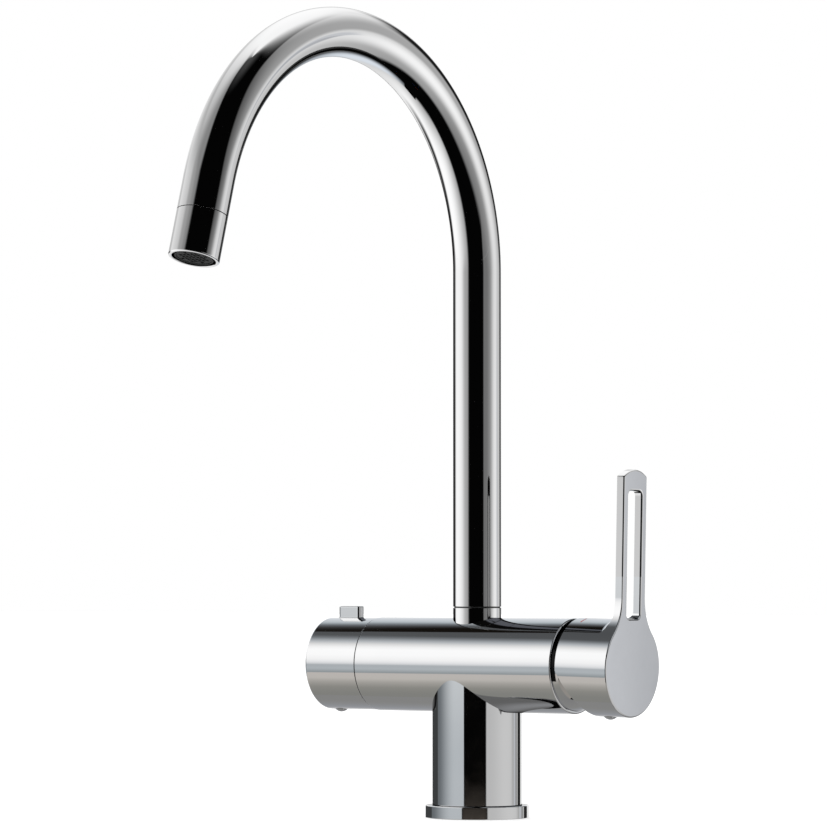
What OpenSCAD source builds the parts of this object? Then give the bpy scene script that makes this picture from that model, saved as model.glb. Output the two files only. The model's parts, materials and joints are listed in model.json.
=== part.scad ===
// Kitchen mixer tap: a one-lever mixer with a high swivel spout and a dishwasher valve.
// Millimetres. The origin is the centre of the base ring's underside, on the worktop.
// +Z is up, +X is the lever's end of the barrel and -Y is the front, where the spout points.

/* [Body] */
// Height of the barrel's axis above the worktop
axis_h = 76; // [72:1:90]
// Diameter of the horizontal barrel
barrel_d = 47.2; // [46.8:0.1:49]
// Length of the fixed barrel to the right of the column's axis
barrel_right = 59.8; // [59.8:0.2:64]
// Length of the fixed barrel to the left of the column's axis
barrel_left = 59.3; // [59:0.1:64]
// Diameter of the upright column
column_d = 44.8; // [44:0.1:46]
// Height of the spout's boss above the barrel's crown
boss_rise = 5; // [4.5:0.1:8]
// Chamfer round the barrel's lever end
barrel_chamfer = 0.8; // [0.3:0.1:1]

/* [Base ring] */
// Outer diameter of the base ring
ring_d = 51.7; // [51:0.1:56]
// Height of the base ring
ring_h = 6.3; // [4:0.1:10]
// Width of the rubber gasket under the ring
gasket_w = 2.2; // [1.6:0.1:2.4]
// Thickness of the rubber gasket under the ring
gasket_t = 1.6; // [1:0.1:2.5]

/* [Water ports] */
// Diameter of the open bore up the column, where the hoses hang
hose_bore_d = 36; // [35:0.5:37]
// Depth of that bore from the worktop
hose_bore_depth = 30; // [24:1:34]
// Core diameter of the three hose threads, M10 x 1
port_d = 8.92; // [8.5:0.01:9.5]
// Distance of the hose threads from the column's axis
port_ring = 11.5; // [11:0.1:12]
// Length of the hose threads
port_depth = 12; // [8:1:12]
// Core diameter of the fixing stud's thread, M8
stud_d = 6.65; // [5:0.05:7]
// Length of the fixing stud's thread
stud_depth = 16; // [10:1:18]
// Diameter of the drilled hot and cold passages
passage_d = 7; // [5:0.5:7]

/* [Spout] */
// Outer diameter of the spout tube
tube_d = 24; // [24:0.5:25]
// Wall of the spout tube
tube_wall = 1.5; // [1.2:0.1:1.8]
// Height above the worktop where the upright tube starts to bend
riser_top = 272.3; // [200:1:340]
// Radius of the bend on the tube's centre line
bend_r = 110; // [80:1:130]
// Angle that the tube bends through
bend_angle = 163.5; // [140:0.5:180]
// Straight end of the tube after the bend
outlet_straight = 16.8; // [14:0.2:30]
// Length of the outlet sleeve that holds the aerator
sleeve_len = 22.4; // [22:0.2:30]
// Bore of the spout's foot
foot_bore = 12.6; // [10:0.1:13]
// Depth of the spout's foot below the boss
foot_depth = 19.4; // [18:0.2:20]
// Swing of the spout to each side
spout_swing = 60; // [20:5:80]

/* [Lever] */
// Diameter of the lever's hub
hub_d = 48.2; // [48:0.1:50]
// Open groove between the barrel and the hub
hub_groove = 3.3; // [3:0.1:4]
// Length of the hub along the barrel
hub_len = 29.8; // [29.4:0.1:34]
// Width of the lever's blade
blade_w = 20.4; // [18:0.1:24]
// Thickness of the lever's blade
blade_t = 4.2; // [3.5:0.1:5]
// Height of the blade's tip above the barrel's axis
blade_top = 97; // [70:1:120]
// Rise of the rounded tip over its corners
tip_rise = 3.3; // [2:0.1:5]
// Width of the finger slot
slot_w = 12; // [6:0.1:13]
// Height of the slot's lower end above the hub
slot_rise = 0.1; // [0.1:0.1:20]
// Solid length of the blade's tip above the slot
tip_solid = 10.3; // [6:0.1:20]
// Radius of the slot's corners
slot_r = 2.6; // [1:0.1:2.9]
// Radius of the flanks that run from the blade into the hub
flank_r = 26; // [10:1:40]
// Radius of the hollow flare between the blade's back and the hub
flare_r = 4.5; // [2:0.1:6]
// Angle of the cut under the hub, which lets the lever lift
cut_angle = 28; // [27:0.5:30]
// Outward lean of the closed lever
lever_lean = 1.2; // [0:0.1:1.5]
// Wall of the hub's skirt
skirt_wall = 2.1; // [1.8:0.1:2.3]

/* [Cartridge] */
// Depth of the lever's pivot inside the barrel's end
pivot_depth = 3.8; // [3.6:0.1:4]
// Diameter of the ceramic cartridge
cartridge_d = 35; // [34:0.1:35]
// Radius of the domed cover, measured from the pivot
dome_r = 22.6; // [22.4:0.1:22.8]
// Radius of the opening in the domed cover
dome_open = 14.2; // [14:0.1:14.6]
// Side of the square spindle
spindle_side = 8; // [7:0.1:8]
// Diameter of the pin that the spindle tilts on
pin_d = 3; // [2:0.1:3.4]
// Temperature turn of the lever to each side
temperature_turn = 45; // [30:1:50]

/* [Dishwasher valve] */
// Length of the valve knob
knob_len = 31.2; // [30:0.2:36]
// Length of the knob's tab along the barrel
tab_len = 13.4; // [8:0.2:14]
// Thickness of the knob's tab
tab_t = 4.9; // [3:0.1:7]
// Height of the knob's tab above the knob
tab_h = 5.5; // [3:0.1:10]
// Distance of the tab's middle from the barrel's left end
tab_at = 19.1; // [18:0.1:20]
// Side of the valve's square spindle end
square_side = 6.4; // [5:0.1:6.4]

/* [Screws and caps] */
// Diameter of the set screws, M5
screw_d = 5; // [4:0.1:5]
// Length of the set screws
screw_len = 9; // [7:0.5:9]
// Diameter of the domed screw caps
cap_d = 7.4; // [7:0.1:8]
// Height of the domed screw caps
cap_rise = 1.4; // [1:0.1:2.5]
// Distance of the lever's screw from the hub's face
lever_screw_in = 12.6; // [12.2:0.1:12.8]
// Distance of the knob's screw from the knob's end
knob_screw_in = 6.2; // [6.2:0.1:6.6]

/* [Clearances] */
// Gap between outer pieces that turn against each other
turn_gap = 0.4; // [0.3:0.05:0.6]
// Radial gap of a shaft in its bore
running = 0.05; // [0.03:0.01:0.08]
// Gap between pieces that slip together and stay put
slip = 0.05; // [0.02:0.01:0.1]
// Gap between inner pieces that swing past each other
swing_gap = 0.35; // [0.3:0.05:0.5]

/* [Hidden] */
$fn = 96;
// Reach of a cutting solid past the face that it opens
cut = 0.5;
// Overlap that joins two lengths of one piece
join = 0.01;
edge = 0.3;
key_r = 1.4;
key_depth = 3;

barrel_r = barrel_d / 2;
column_r = column_d / 2;
tube_r = tube_d / 2;
hub_r = hub_d / 2;
hub_x = barrel_right + hub_groove;
face_x = hub_x + hub_len;
pivot_x = barrel_right - pivot_depth;
slot_low = hub_r + slot_rise;
slot_high = blade_top - tip_solid;

// Foot of the column, inside the base ring
spigot_r = column_r - 1.9;
ring_bore = spigot_r + 0.1;
gasket_r = column_r - 0.4;

// Drilled water ways
port_angle = 60;
dish_way_r = 3;
dish_way_z = -9.5;
valve_way_r = 2.5;

// Spout seat in the top of the barrel
boss_top = axis_h + barrel_r + boss_rise;
foot_r = 9.7;
foot_cavity_r = foot_r + running;
foot_low = boss_top - foot_depth;
cavity_floor = foot_low - 6;
washer_t = 0.5;
tube_low = boss_top + washer_t + 0.05;
spigot_len = 13;
stop_z = boss_top - 11.5;
stop_thread_r = 2.5;
stop_tip_len = 1.2;
stop_r = 1.6;
stop_depth = 2.2;
stop_spread = asin(stop_r / (foot_r - stop_depth)) + 2;
ring_section = 2.2;
ring_proud = 0.03;
o_ring_z = [boss_top - 5, foot_low + 3.2];
joint_step = 0.02;

// Outlet end of the spout, measured along the flow
collar_r = tube_r - tube_wall - slip;
collar_wall = 2.2;
collar_in = 8;
collar_out = 6.5;
outlet_bore = 10.35;
mouth_depth = 5;
shoulder_bore = 9.8;
insert_r = 9.2;
insert_wall = 0.75;
insert_low = collar_out + 1.5;
insert_high = sleeve_len - 0.5;
flange_t = 2;
jet_plate_t = 3;
jet_ring = 5.6;
jet_r = 0.9;
grid_t = 2.4;
grid_sunk = 0.2;

// Cartridge stack along the barrel
cartridge_r = cartridge_d / 2;
base_x = pivot_x - 22;
base_t = 4.5;
peg_r = 1.5;
peg_len = 2.6;
peg_place = [12.5, 6];fixed_x = base_x + base_t;
fixed_t = 3.5;
film = 0.05;
moving_x = fixed_x + fixed_t + film;
moving_t = 4;
moving_r = 10.6;
channel_deep = 1;
pocket_floor = 1.6;
rotor_x = moving_x + moving_t + swing_gap;
shoulder_x = pivot_x - 2;
roof_t = 1.6;
neck_top = pivot_x + 4;
rotor_top = neck_top + 1;
cup_r = cartridge_r - 2;
neck_r = 11;
neck_wall = 2.5;
nut_r = 19;
nut_top = pivot_x + 6;
nut_notch = 4;
dome_wall = 1.2;
dome_flange_t = 1;
arm = 10;
arm_tip_r = 2;
arm_half = 1.9;
slot_half = spindle_side / 2 + 4.4;
blade_half = 3;
square_x = neck_top + 4.5;
stop_lug = 20;
lug_rise = 1.2;
lug_len = 3.6;
inlet_y = 7.5;
inlet_z = -5;
inlet_r = 3.6;
mixed_z = 4;
mixed_r = 4;

// Lever
sweep_r = dome_r + 0.9;
spindle_end = face_x - 3.1;
screw_r = screw_d / 2;
lever_screw_x = face_x - lever_screw_in;
boss_r = 8.5;
dog_r = 1.5;
dog_len = 3.2;
screw_wall_r = 4.8;
plug_r = 3;
plug_len = 7.5;
cap_sunk = 0.6;
mark_x = hub_x + 5.3;
mark_w = 0.8;
mark_from = 10.5;
mark_to = 24;
mark_deep = 0.6;

// Dishwasher valve along the barrel, to the left
knob_x = -barrel_left - turn_gap;
knob_end = knob_x - knob_len;
knob_r = barrel_r;
knob_wall = 2.6;
knob_plate = 5.2;
knob_screw_x = knob_end + knob_screw_in;
tab_x = -barrel_left - tab_at;
hub_socket_r = 7.5;
thread_r = 10.45;
chamber_r = 9.2;
cage_r = 8.5;
cage_bore = 7;
cage_window = [6, 5];
flow_r = 5;
disc_hub_r = 1.2;
seat_x = 35.3 - barrel_left;
seat_gasket_t = 2.5;
thread_end = 13.3 - barrel_left;
valve_disc_t = 2.9;
valve_disc_x = seat_x - seat_gasket_t - 0.1;
yoke_x = valve_disc_x - 2 * valve_disc_t - 2 * film;
valve_shaft_r = 4;
yoke_half = 2;
valve_collar_t = 2;
hex_r = 12.4;
hex_len = 7;
valve_o_x = 8.3 - barrel_left;
valve_o_r = 0.62;
valve_groove_half = 1.25;

module along_x(x = 0)
    translate([x, 0, axis_h]) rotate([0, 90, 0]) children();

// A solid turned about the barrel's axis: each point is [radius, x]
module turned(points)
    along_x() rotate_extrude() polygon(points);

// A plain ring or disc about the barrel's axis, from x0 to x1
module ring_x(x0, x1, r_out, r_in = 0)
    along_x(x0) difference() {
        cylinder(h = x1 - x0, r = r_out);
        if (r_in > 0) translate([0, 0, -cut]) cylinder(h = x1 - x0 + 2 * cut, r = r_in);
    }

// A drilled hole along X, at y and z from the barrel's axis
module drill_x(x0, x1, y, z, r)
    translate([x0, y, axis_h + z]) rotate([0, 90, 0]) cylinder(h = x1 - x0, r = r);

// A round bar across the barrel, parallel to Y, on the barrel's axis
module across(x, length, r)
    translate([x, 0, axis_h]) rotate([90, 0, 0]) cylinder(h = length, r = r, center = true);

module upright(x, y, z0, z1, r)
    translate([x, y, z0]) cylinder(h = z1 - z0, r = r);

// A flat outline, drawn in Y and Z, given a thickness along X
module plate_x(x0, x1)
    translate([x0, 0, axis_h]) rotate([90, 0, 90]) linear_extrude(x1 - x0) children();

// A block centred on the barrel's axis
module block(x0, x1, y_half, z0, z1)
    translate([x0, -y_half, axis_h + z0]) cube([x1 - x0, 2 * y_half, z1 - z0]);

// A place past the bend, with +Z along the flow
module at_outlet(d = 0)
    translate([0, -bend_r * (1 - cos(bend_angle)), riser_top + bend_r * sin(bend_angle)])
        rotate([bend_angle, 0, 0]) translate([0, 0, d]) children();

// The lever's pieces lean outwards together about the spindle's pin
module leaning()
    translate([pivot_x, 0, axis_h]) rotate([0, lever_lean, 0])
        translate([-pivot_x, 0, -axis_h]) children();

// A grub screw with a dog point, which clears the domed cover when the lever lifts
module set_screw(tip_z)
    difference() {
        union() {
            translate([0, 0, tip_z - screw_len]) cylinder(h = screw_len - dog_len, r = screw_r - slip);
            translate([0, 0, tip_z - dog_len - join]) cylinder(h = dog_len + join, r = dog_r);
        }
        translate([0, 0, tip_z - screw_len - cut]) cylinder(h = key_depth + cut, r = key_r, $fn = 6);
    }

// A domed plug pushed into a screw hole from below, its head seated on a round wall
module screw_cap(wall_r) {
    head_t = cap_rise + cap_sunk;
    sphere_r = (pow(cap_d / 2, 2) + pow(head_t, 2)) / (2 * head_t);
    translate([0, 0, cap_sunk - wall_r]) intersection() {
        translate([0, 0, sphere_r - head_t]) sphere(r = sphere_r);
        translate([0, 0, -2 * head_t]) cylinder(h = 2 * head_t, r = cap_d / 2);
    }
    translate([0, 0, cap_sunk - wall_r - join]) cylinder(h = plug_len, r = plug_r - slip);
}

// The screw's hole, the plug's wider mouth and the seat for its head, cut from below
module screw_hole(wall_r) {
    seat_low = 2;
    translate([0, 0, -wall_r - cut]) {
        cylinder(h = wall_r + cut, r = screw_r);
        cylinder(h = plug_len + cap_sunk + cut, r = plug_r);
    }
    translate([0, 0, -wall_r - seat_low]) cylinder(h = seat_low + cap_sunk, r = cap_d / 2 + slip);
}

function port_place(angle) = [port_ring * cos(angle), port_ring * sin(angle)];

// Hot comes up at the front and cold at the back; the dishwasher's way goes down at the left
module water_ways() {
    floor_z = hose_bore_depth;
    inlet_x = port_place(port_angle)[0];
    for (side = [-1, 1]) {
        place = port_place(side * port_angle);
        upright(place[0], place[1], floor_z - cut, floor_z + port_depth, port_d / 2);
        upright(place[0], place[1], floor_z, axis_h + inlet_z + passage_d / 4, passage_d / 2);
    }
    drill_x(inlet_x - passage_d / 4, base_x + cut, -inlet_y, inlet_z, passage_d / 2);
    drill_x(seat_x + 3.5, base_x + cut, inlet_y, inlet_z, passage_d / 2);
    drill_x(mixed_r, base_x + cut, 0, mixed_z, mixed_r);
    upright(-port_ring, 0, floor_z - cut, floor_z + port_depth, port_d / 2);
    upright(-port_ring, 0, floor_z, axis_h + dish_way_z + 1, dish_way_r);
    drill_x(seat_x - 8, -port_ring, 0, dish_way_z, valve_way_r);
    translate([seat_x + 6.5, 0, axis_h + inlet_z / 2]) rotate([-90, 0, 0])
        cylinder(h = inlet_y, r = dish_way_r);
    drill_x(seat_x - cut, seat_x + 10, 0, 0, flow_r);
    upright(0, 0, floor_z - cut, floor_z + stud_depth, stud_d / 2);
}

module mixer_body()
    color("silver") difference() {
        union() {
            turned([[0, -barrel_left], [barrel_r - edge, -barrel_left], [barrel_r, edge - barrel_left],
                [barrel_r, barrel_right - barrel_chamfer], [barrel_r - barrel_chamfer, barrel_right],
                [0, barrel_right]]);
            upright(0, 0, ring_h, axis_h, column_r);
            upright(0, 0, 0, ring_h + 1, spigot_r);
            upright(0, 0, axis_h, boss_top, tube_r);
        }
        translate([0, 0, -cut]) cylinder(h = hose_bore_depth + cut, r = hose_bore_d / 2);
        water_ways();
        ring_x(base_x, barrel_right + cut, cartridge_r + slip);
        ring_x(shoulder_x - 2, barrel_right + cut, nut_r + slip);
        for (side = [-1, 1]) drill_x(base_x - peg_len - 0.4, base_x + cut, side * peg_place[0], peg_place[1],
            peg_r + 0.1);
        upright(0, 0, cavity_floor, boss_top + cut, foot_cavity_r);
        translate([0, foot_r - cut, stop_z]) rotate([-90, 0, 0]) cylinder(h = barrel_r, r = stop_thread_r);
        ring_x(-barrel_left - cut, thread_end, thread_r + slip);
        ring_x(-barrel_left - cut, seat_x, chamber_r);
    }

module base_ring()
    color("silver") difference() {
        rotate_extrude() polygon([[ring_bore, 0], [ring_d / 2, 0], [ring_d / 2, ring_h - cut],
            [ring_d / 2 - cut, ring_h], [ring_bore, ring_h]]);
        translate([0, 0, -cut]) difference() {
            cylinder(h = gasket_t + cut, r = gasket_r + gasket_w);
            translate([0, 0, -cut]) cylinder(h = gasket_t + 3 * cut, r = gasket_r);
        }
    }

module base_gasket()
    color("dimgray") difference() {
        cylinder(h = gasket_t, r = gasket_r + gasket_w - slip);
        translate([0, 0, -cut]) cylinder(h = gasket_t + 2 * cut, r = gasket_r + slip);
    }

module spout_slide_washer()
    color("white") translate([0, 0, boss_top]) difference() {
        cylinder(h = washer_t, r = tube_r - 0.5);
        translate([0, 0, -cut]) cylinder(h = washer_t + 2 * cut, r = foot_cavity_r);
    }

// A grub screw from behind whose tip runs in the foot's groove and stops the swing
module spout_retaining_screw() {
    shank_y = foot_r + stop_tip_len;
    tail_y = sqrt(pow(barrel_r, 2) - pow(stop_z - axis_h, 2)) - 1.5;
    tip_y = foot_r - stop_depth + swing_gap;
    color("silver") translate([0, 0, stop_z]) rotate([-90, 0, 0]) difference() {
        union() {
            translate([0, 0, shank_y]) cylinder(h = tail_y - shank_y, r = stop_thread_r - slip);
            translate([0, 0, tip_y]) cylinder(h = shank_y + join - tip_y, r = stop_r);
        }
        translate([0, 0, tail_y - key_depth]) cylinder(h = key_depth + cut, r = key_r, $fn = 6);
    }
}

// The cartridge's three openings: hot and cold in, mixed water out
module port_holes(x0, x1, grow = 0) {
    for (side = [-1, 1]) drill_x(x0, x1, side * inlet_y, inlet_z, inlet_r + grow);
    drill_x(x0, x1, 0, mixed_z + 2, mixed_r + grow);
}

seal_w = 1.3;
seal_t = 1.5;

module cartridge_base()
    color("ivory") {
        difference() {
            ring_x(base_x, fixed_x, cartridge_r - slip);
            port_holes(base_x - cut, fixed_x + cut);
            port_holes(base_x - cut, base_x + seal_t, seal_w + slip);
        }
        for (side = [-1, 1])
            drill_x(base_x - peg_len, base_x + join, side * peg_place[0], peg_place[1], peg_r);
    }

module cartridge_seals()
    color("dimgray") difference() {
        port_holes(base_x, base_x + seal_t, seal_w);
        port_holes(base_x - cut, base_x + seal_t + cut);
    }

module cartridge_fixed_disc()
    color("whitesmoke") difference() {
        ring_x(fixed_x, fixed_x + fixed_t, cup_r - slip);
        port_holes(fixed_x - cut, fixed_x + fixed_t + cut);
    }

// A slice of a disc about the barrel's axis; its middle angle counts from the top to the front
module sector(x0, x1, r, middle, spread)
    along_x(x0) rotate([0, 0, 180 + middle - spread / 2])
        rotate_extrude(angle = spread) square([r, x1 - x0]);

module cartridge_housing()
    color("ivory") difference() {
        turned([[cup_r, fixed_x], [cartridge_r - slip, fixed_x], [cartridge_r - slip, shoulder_x],
            [neck_r + running + neck_wall, shoulder_x], [neck_r + running + neck_wall, neck_top],
            [neck_r + running, neck_top], [neck_r + running, shoulder_x - roof_t],
            [cup_r, shoulder_x - roof_t]]);
        sector(neck_top - lug_len - 0.4, neck_top + cut, neck_r + lug_rise + edge, 0,
            stop_lug + 2 * temperature_turn + 2);
    }

module cartridge_nut()
    color("goldenrod") difference() {
        ring_x(shoulder_x, nut_top, nut_r, neck_r + running + neck_wall + slip);
        for (turn = [0, 90]) translate([nut_top, 0, axis_h]) rotate([turn, 0, 0])
            cube([nut_notch, nut_notch, 3 * nut_r], center = true);
    }

// The cover's half section: a flange on the barrel's end, then a shell round the pivot
module dome_section() {
    flange_r = barrel_r - barrel_chamfer - 0.6;
    difference() {
        union() {
            translate([0, barrel_right]) square([flange_r, dome_flange_t]);
            intersection() {
                translate([0, pivot_x]) circle(r = dome_r);
                translate([0, barrel_right]) square([flange_r, dome_r]);
            }
        }
        translate([-cut, barrel_right - cut]) square([nut_r + slip + cut, nut_top + 0.9 - barrel_right]);
        intersection() {
            translate([0, pivot_x]) circle(r = dome_r - dome_wall);
            translate([-cut, nut_top]) square([flange_r, dome_r]);
        }
        translate([-cut, barrel_right - cut]) square([dome_open + cut, dome_r + 2]);
    }
}

module dome_cover()
    color("silver") along_x() rotate_extrude() dome_section();

module cartridge_rotor()
    color("lightsteelblue") difference() {
        union() {
            ring_x(rotor_x, shoulder_x - roof_t - swing_gap, cup_r - edge);
            ring_x(rotor_x, rotor_top, neck_r);
            sector(neck_top - lug_len, neck_top, neck_r + lug_rise, 0, stop_lug);
        }
        block(rotor_x - cut, rotor_top + cut, blade_half + 0.3, -slot_half, slot_half);
        across(pivot_x, 3 * neck_r, pin_d / 2);
    }

module spindle_pin()
    color("gainsboro") across(pivot_x, 2 * neck_r - 2 * edge, pin_d / 2);

// The disc is drawn where the leaning spindle has already carried it
module cartridge_moving_disc() {
    shift = arm * sin(lever_lean);
    pocket = arm_tip_r + swing_gap;
    color("whitesmoke") translate([0, 0, shift]) difference() {
        ring_x(moving_x, moving_x + moving_t, moving_r);
        block(moving_x + pocket_floor, moving_x + moving_t + cut, blade_half + swing_gap, -pocket, pocket);
        drill_x(moving_x - cut, moving_x + channel_deep, 0, 5.2, 3);
        for (side = [-1, 1]) drill_x(moving_x - cut, moving_x + channel_deep, side * 4.6, 4.2, 2.4);
    }
}

module cartridge_spindle()
    color("gold") leaning() difference() {
        half = spindle_side / 2;
        union() {
            block(pivot_x - arm, pivot_x - 3, blade_half, -arm_half, arm_half);
            across(pivot_x - arm, 2 * blade_half, arm_tip_r);
            across(pivot_x, 2 * blade_half, half);
            block(pivot_x, square_x, blade_half, -half, half);
            block(square_x, spindle_end, half, -half, half);
        }
        across(pivot_x, 3 * half, pin_d / 2 + running);
    }

// Outline of the face: disc, blade with a rounded tip, and the concave flanks between them
module face_outline() {
    half = blade_w / 2;
    tip_r = (pow(half, 2) + pow(tip_rise, 2)) / (2 * tip_rise);
    flank_y = half + flank_r;
    flank_z = sqrt(pow(hub_r + flank_r, 2) - pow(flank_y, 2));
    difference() {
        union() {
            circle(r = hub_r);
            translate([-half, 0]) square([blade_w, blade_top - tip_rise]);
            intersection() {
                translate([0, blade_top - tip_r]) circle(r = tip_r);
                translate([-half, blade_top - tip_rise - 1]) square([blade_w, tip_rise + 2]);
            }
            for (side = [-1, 1]) difference() {
                polygon([[0, 0], [side * flank_y, flank_z], [0, flank_z]]);
                translate([side * flank_y, flank_z]) circle(r = flank_r);
            }
        }
        slot_outline();
    }
}

module slot_outline() {
    side_y = slot_w / 2 - slot_r;
    translate([-slot_w / 2, slot_low + slot_r]) square([slot_w, slot_high - slot_low - 2 * slot_r]);
    translate([-side_y, slot_low]) square([2 * side_y, slot_high - slot_low]);
    for (y = [-side_y, side_y])
        for (z = [slot_low + slot_r, slot_high - slot_r])
            translate([y, z]) circle(r = slot_r);
}

// The hollow flare: a ring about the hub, kept only behind the blade and its flanks
module blade_flare() {
    back_x = face_x - blade_t;
    intersection() {
        along_x() rotate_extrude() difference() {
            translate([hub_r - 1, back_x - flare_r]) square([flare_r + 1, flare_r + join]);
            translate([hub_r + flare_r, back_x - flare_r]) circle(r = flare_r);
        }
        plate_x(back_x - flare_r, back_x + join) face_outline();
    }
}

// The wedge cut away below the hub's mid-line
module lift_cut()
    translate([hub_x, 0, axis_h - 1.5]) rotate([0, -cut_angle, 0])
        translate([-hub_len, -hub_d, -2 * hub_d]) cube([hub_len, 2 * hub_d, 2 * hub_d]);

module hub_cavity()
    difference() {
        union() {
            ring_x(hub_x - cut, face_x - blade_t - 1, hub_r - skirt_wall);
            translate([pivot_x, 0, axis_h]) sphere(r = sweep_r);
        }
        difference() {
            union() {
                ring_x(pivot_x, face_x, boss_r);
                intersection() {
                    upright(lever_screw_x, 0, axis_h - hub_r, axis_h, screw_wall_r);
                    ring_x(pivot_x, face_x, hub_r - cut);
                }
            }
            translate([pivot_x, 0, axis_h]) sphere(r = sweep_r);
        }
    }

module mark_sector(r_out, r_in, side)
    difference() {
        sector(mark_x - mark_w / 2, mark_x + mark_w / 2, r_out, side * (mark_from + mark_to) / 2,
            mark_to - mark_from);
        ring_x(mark_x - mark_w, mark_x + mark_w, r_in);
    }

module lever_handle()
    color("silver") leaning() difference() {
        union() {
            plate_x(face_x - blade_t, face_x) face_outline();
            ring_x(hub_x, face_x - blade_t + cut, hub_r);
            blade_flare();
        }
        hub_cavity();
        lift_cut();
        plate_x(hub_x, face_x + cut) slot_outline();
        block(pivot_x, spindle_end + 0.2, spindle_side / 2 + slip, -spindle_side / 2 - slip,
            spindle_side / 2 + slip);
        translate([lever_screw_x, 0, axis_h]) screw_hole(hub_r);
        for (side = [-1, 1]) mark_sector(hub_r + cut, hub_r - mark_deep, side);
    }

module lever_set_screw()
    color("dimgray") leaning() translate([lever_screw_x, 0, axis_h]) set_screw(-spindle_side / 2);

module lever_screw_cap()
    color("silver") leaning() translate([lever_screw_x, 0, axis_h]) screw_cap(hub_r);

module hot_mark()
    color("red") leaning() mark_sector(hub_r, hub_r - mark_deep, 1);

module cold_mark()
    color("blue") leaning() mark_sector(hub_r, hub_r - mark_deep, -1);

module spout_tube()
    color("silver") difference() {
        tube_body(tube_r, 0);
        tube_body(tube_r - tube_wall, cut);
    }

// The straight end is a hair wider than the bend, so that the two lengths join cleanly
module tube_body(r, over) {
    translate([0, 0, tube_low - over]) cylinder(h = riser_top - tube_low + over, r = r);
    translate([0, -bend_r, riser_top]) rotate([90, 0, 90]) rotate_extrude(angle = bend_angle)
        translate([bend_r, 0]) circle(r = r);
    at_outlet(-0.5) cylinder(h = outlet_straight + 0.5 + over, r = r + joint_step);
}

// A brazed spigot: two seal grooves, and a groove over part of the round for the stop
module spout_foot()
    color("goldenrod") difference() {
        union() {
            translate([0, 0, foot_low]) cylinder(h = tube_low - foot_low, r = foot_r);
            translate([0, 0, tube_low - join]) cylinder(h = spigot_len, r = tube_r - tube_wall - slip);
        }
        translate([0, 0, foot_low - cut]) cylinder(h = foot_depth + 2 * spigot_len, r = foot_bore / 2);
        for (z = o_ring_z) translate([0, 0, z - ring_section / 2 - slip]) difference() {
            cylinder(h = ring_section + 2 * slip, r = foot_r + cut);
            translate([0, 0, -cut]) cylinder(h = ring_section + 2, r = foot_r - ring_section + ring_proud);
        }
        translate([0, 0, stop_z - stop_r - swing_gap]) rotate([0, 0, 90 - spout_swing - stop_spread])
            rotate_extrude(angle = 2 * (spout_swing + stop_spread))
                translate([foot_r - stop_depth, 0]) square([stop_depth + cut, 2 * (stop_r + swing_gap)]);
    }

module spout_o_rings()
    color("dimgray") for (z = o_ring_z) translate([0, 0, z]) rotate_extrude()
        translate([foot_r - ring_section / 2 + ring_proud, 0]) circle(r = ring_section / 2);

module spout_end_collar()
    color("goldenrod") at_outlet(outlet_straight - collar_in) difference() {
        cylinder(h = collar_in + collar_out, r = collar_r);
        translate([0, 0, -cut]) cylinder(h = collar_in + collar_out + 2 * cut, r = collar_r - collar_wall);
    }

// The sleeve has a shoulder for the insert's flange and a wider mouth
module aerator_sleeve() {
    low = 0.15;
    color("silver") at_outlet(outlet_straight) rotate_extrude() polygon([
        [collar_r + slip, low], [tube_r - edge, low], [tube_r, low + edge],
        [tube_r, sleeve_len - 2 * edge], [tube_r - 2 * edge, sleeve_len], [outlet_bore, sleeve_len],
        [outlet_bore, sleeve_len - mouth_depth], [shoulder_bore, sleeve_len - mouth_depth],
        [shoulder_bore, insert_low + flange_t], [collar_r + slip, insert_low + flange_t]]);
}

module aerator_gasket()
    color("dimgray") at_outlet(outlet_straight + collar_out) difference() {
        cylinder(h = insert_low - collar_out, r = collar_r);
        translate([0, 0, -cut]) cylinder(h = insert_low, r = collar_r - collar_wall - 0.4);
    }

// The plastic aerator body: a flange under the gasket, a jet plate and a cup
module aerator_insert()
    color("slategray") at_outlet(outlet_straight) difference() {
        union() {
            translate([0, 0, insert_low]) cylinder(h = flange_t, r = collar_r);
            translate([0, 0, insert_low]) cylinder(h = insert_high - insert_low, r = insert_r);
        }
        translate([0, 0, insert_low + jet_plate_t]) cylinder(h = sleeve_len, r = insert_r - insert_wall);
        for (turn = [0 : 30 : 330])
            rotate([0, 0, turn]) translate([jet_ring, 0, 0]) cylinder(h = sleeve_len, r = jet_r);
    }

// The outlet grid: a disc with square cells
module aerator_grid() {
    cell = 1.7;
    bar = 0.5;
    reach = 4;
    grid_r = insert_r - insert_wall - slip;
    color("dimgray") at_outlet(outlet_straight + insert_high - grid_t - grid_sunk) difference() {
        cylinder(h = grid_t, r = grid_r);
        for (i = [-reach : reach])
            for (j = [-reach : reach])
                if (norm([abs(i) + 0.5, abs(j) + 0.5]) * (cell + bar) < grid_r - grid_sunk)
                    translate([i * (cell + bar), j * (cell + bar), 0]) cube([cell, cell, 12], center = true);
    }
}

// A collar and a hexagon outside the barrel, then the thread and the cage for the discs
module valve_headwork()
    color("goldenrod") difference() {
        union() {
            ring_x(-barrel_left - valve_collar_t, -barrel_left, hex_r + 0.1);
            along_x(-barrel_left - valve_collar_t - hex_len) cylinder(h = hex_len, r = hex_r, $fn = 6);
            ring_x(-barrel_left - join, thread_end, thread_r);
            ring_x(thread_end - join, seat_x - seat_gasket_t, cage_r);
        }
        ring_x(-barrel_left - 2 * hex_len, thread_end + cut, valve_shaft_r + running);
        ring_x(thread_end, seat_x, cage_bore);
        for (turn = [0, 90]) translate([yoke_x - 4.5, 0, axis_h]) rotate([turn, 0, 0])
            cube([cage_window[0], cage_window[1], 3 * cage_r], center = true);
    }

module valve_seat_gasket()
    color("dimgray") ring_x(seat_x - seat_gasket_t, seat_x, cage_r, flow_r + 0.2);

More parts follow.
